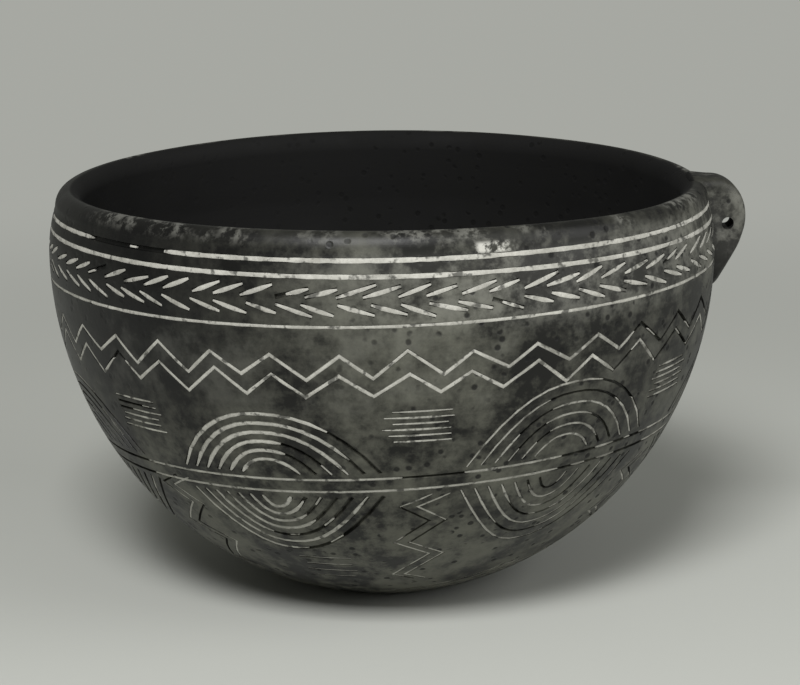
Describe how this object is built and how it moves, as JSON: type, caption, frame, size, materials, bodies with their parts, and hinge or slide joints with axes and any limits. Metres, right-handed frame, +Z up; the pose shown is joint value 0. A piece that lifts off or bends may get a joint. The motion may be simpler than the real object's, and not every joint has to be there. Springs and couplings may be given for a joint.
{
  "type": "incised bowl",
  "caption": "Round-bottomed hand-built clay bowl with a pierced lug at the rim and white paste set into its cut lines.",
  "frame": {"origin": "centre of the small flat that the bowl rests on", "axes": "+Z up along the bowl's axis; +X towards the pierced lug; -Y is the front shown in the picture"},
  "size_m": [0.1572, 0.15, 0.0928],
  "materials": {
    "burnished_clay": "low-fired dark clay, burnished to a satin sheen, mottled olive grey to black",
    "lime_paste": "chalky white, matt"
  },
  "bodies": {
    "root": {"bowl_body": "burnished_clay", "rim_lug": "burnished_clay", "rim_line_upper": "lime_paste", "rim_line_lower": "lime_paste", "band_line": "lime_paste", "belt_line_upper": "lime_paste", "belt_line_lower": "lime_paste", "zigzag_upper": "lime_paste", "zigzag_lower": "lime_paste", "arc_above_belt_1_1": "lime_paste", "arc_below_belt_1_1": "lime_paste", "arc_above_belt_1_2": "lime_paste", "arc_below_belt_1_2": "lime_paste", "arc_above_belt_2_1": "lime_paste", "arc_below_belt_2_1": "lime_paste", "arc_above_belt_2_2": "lime_paste", "arc_below_belt_2_2": "lime_paste", "arc_above_belt_3_1": "lime_paste", "arc_below_belt_3_1": "lime_paste", "arc_above_belt_3_2": "lime_paste", "arc_below_belt_3_2": "lime_paste", "arc_above_belt_4_1": "lime_paste", "arc_below_belt_4_1": "lime_paste", "arc_above_belt_4_2": "lime_paste", "arc_below_belt_4_2": "lime_paste", "arc_above_belt_5_1": "lime_paste", "arc_below_belt_5_1": "lime_paste", "arc_above_belt_5_2": "lime_paste", "arc_below_belt_5_2": "lime_paste", "arc_above_belt_6_1": "lime_paste", "arc_below_belt_6_1": "lime_paste", "arc_above_belt_6_2": "lime_paste", "arc_below_belt_6_2": "lime_paste", "arc_above_belt_7_1": "lime_paste", "arc_below_belt_7_1": "lime_paste", "arc_above_belt_7_2": "lime_paste", "arc_below_belt_7_2": "lime_paste"}
  },
  "joints": []
}
